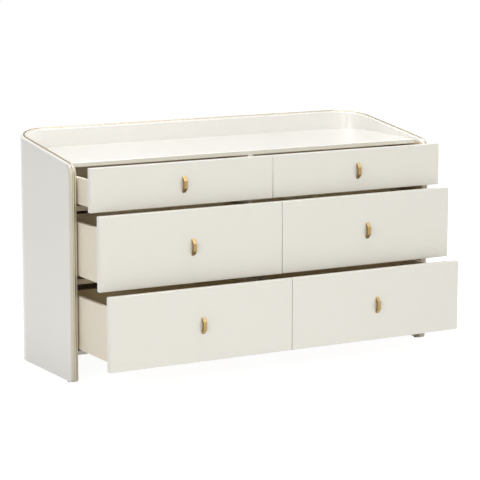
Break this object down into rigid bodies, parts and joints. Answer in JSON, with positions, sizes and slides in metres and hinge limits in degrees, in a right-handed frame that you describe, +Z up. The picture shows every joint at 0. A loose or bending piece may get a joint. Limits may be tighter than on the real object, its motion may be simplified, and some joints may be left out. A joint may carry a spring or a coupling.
{
  "type": "dresser with drawers",
  "caption": "Free-standing chest of drawers in a bent wrap-around panel, with a raised back edge that slopes to the front, a thin metal inlay along its edges and small bow handles.",
  "frame": {"origin": "floor level, in the middle of the object's box with the drawers open as stored", "axes": "+Z up, +X along the width to the object's right-hand side as seen from the front, +Y to the back; the drawers open towards -Y"},
  "size_m": [1.5, 0.7764, 0.8407],
  "materials": {
    "lacquer": "gloss lacquer",
    "box_laminate": "matt laminate",
    "inlay_metal": "satin champagne",
    "handle_metal": "brushed gold",
    "runner_steel": "zinc plated",
    "glide": "matt"
  },
  "bodies": {
    "carcass": {"side_left": "lacquer", "side_right": "lacquer", "corner_left": "lacquer", "corner_right": "lacquer", "back_panel": "lacquer", "worktop": "lacquer", "bottom_panel": "lacquer", "divider": "lacquer", "rails_upper": "lacquer", "rails_lower": "lacquer", "inlay_left": "inlay_metal", "inlay_right": "inlay_metal", "inlay_back": "inlay_metal", "glides": "glide", "fixed_runners": "runner_steel"},
    "drawer_top_left": {"front_top_left": "lacquer", "box_sides_top_left": "box_laminate", "box_ends_top_left": "box_laminate", "box_bottom_top_left": "box_laminate", "runner_caps_top_left": "runner_steel", "handle_top_left": "handle_metal"},
    "sleeves_top_left": {"runner_sleeves_top_left": "runner_steel"},
    "drawer_top_right": {"front_top_right": "lacquer", "box_sides_top_right": "box_laminate", "box_ends_top_right": "box_laminate", "box_bottom_top_right": "box_laminate", "runner_caps_top_right": "runner_steel", "handle_top_right": "handle_metal"},
    "sleeves_top_right": {"runner_sleeves_top_right": "runner_steel"},
    "drawer_middle_left": {"front_middle_left": "lacquer", "box_sides_middle_left": "box_laminate", "box_ends_middle_left": "box_laminate", "box_bottom_middle_left": "box_laminate", "runner_caps_middle_left": "runner_steel", "handle_middle_left": "handle_metal"},
    "sleeves_middle_left": {"runner_sleeves_middle_left": "runner_steel"},
    "drawer_middle_right": {"front_middle_right": "lacquer", "box_sides_middle_right": "box_laminate", "box_ends_middle_right": "box_laminate", "box_bottom_middle_right": "box_laminate", "runner_caps_middle_right": "runner_steel", "handle_middle_right": "handle_metal"},
    "sleeves_middle_right": {"runner_sleeves_middle_right": "runner_steel"},
    "drawer_bottom_left": {"front_bottom_left": "lacquer", "box_sides_bottom_left": "box_laminate", "box_ends_bottom_left": "box_laminate", "box_bottom_bottom_left": "box_laminate", "runner_caps_bottom_left": "runner_steel", "handle_bottom_left": "handle_metal"},
    "sleeves_bottom_left": {"runner_sleeves_bottom_left": "runner_steel"},
    "drawer_bottom_right": {"front_bottom_right": "lacquer", "box_sides_bottom_right": "box_laminate", "box_ends_bottom_right": "box_laminate", "box_bottom_bottom_right": "box_laminate", "runner_caps_bottom_right": "runner_steel", "handle_bottom_right": "handle_metal"},
    "sleeves_bottom_right": {"runner_sleeves_bottom_right": "runner_steel"}
  },
  "joints": [
    {"name": "open_top_left", "type": "slide", "parent": "carcass", "child": "drawer_top_left", "axis": [0, -1, 0], "range_m": [-0.136, 0.194]},
    {"name": "sleeves_top_left", "type": "slide", "parent": "carcass", "child": "sleeves_top_left", "axis": [0, -1, 0], "range_m": [-0.068, 0.097]},
    {"name": "open_top_right", "type": "slide", "parent": "carcass", "child": "drawer_top_right", "axis": [0, -1, 0], "range_m": [-0.136, 0.194]},
    {"name": "sleeves_top_right", "type": "slide", "parent": "carcass", "child": "sleeves_top_right", "axis": [0, -1, 0], "range_m": [-0.068, 0.097]},
    {"name": "open_middle_left", "type": "slide", "parent": "carcass", "child": "drawer_middle_left", "axis": [0, -1, 0], "range_m": [-0.203, 0.127]},
    {"name": "sleeves_middle_left", "type": "slide", "parent": "carcass", "child": "sleeves_middle_left", "axis": [0, -1, 0], "range_m": [-0.1015, 0.0635]},
    {"name": "open_middle_right", "type": "slide", "parent": "carcass", "child": "drawer_middle_right", "axis": [0, -1, 0], "range_m": [-0.203, 0.127]},
    {"name": "sleeves_middle_right", "type": "slide", "parent": "carcass", "child": "sleeves_middle_right", "axis": [0, -1, 0], "range_m": [-0.1015, 0.0635]},
    {"name": "open_bottom_left", "type": "slide", "parent": "carcass", "child": "drawer_bottom_left", "axis": [0, -1, 0], "range_m": [-0.2745, 0.0555]},
    {"name": "sleeves_bottom_left", "type": "slide", "parent": "carcass", "child": "sleeves_bottom_left", "axis": [0, -1, 0], "range_m": [-0.13725, 0.02775]},
    {"name": "open_bottom_right", "type": "slide", "parent": "carcass", "child": "drawer_bottom_right", "axis": [0, -1, 0], "range_m": [-0.2745, 0.0555]},
    {"name": "sleeves_bottom_right", "type": "slide", "parent": "carcass", "child": "sleeves_bottom_right", "axis": [0, -1, 0], "range_m": [-0.13725, 0.02775]}
  ],
  "couplings": [
    {"joint": "sleeves_top_left", "follows": "open_top_left", "ratio": 0.5},
    {"joint": "sleeves_top_right", "follows": "open_top_right", "ratio": 0.5},
    {"joint": "sleeves_middle_left", "follows": "open_middle_left", "ratio": 0.5},
    {"joint": "sleeves_middle_right", "follows": "open_middle_right", "ratio": 0.5},
    {"joint": "sleeves_bottom_left", "follows": "open_bottom_left", "ratio": 0.5},
    {"joint": "sleeves_bottom_right", "follows": "open_bottom_right", "ratio": 0.5}
  ]
}
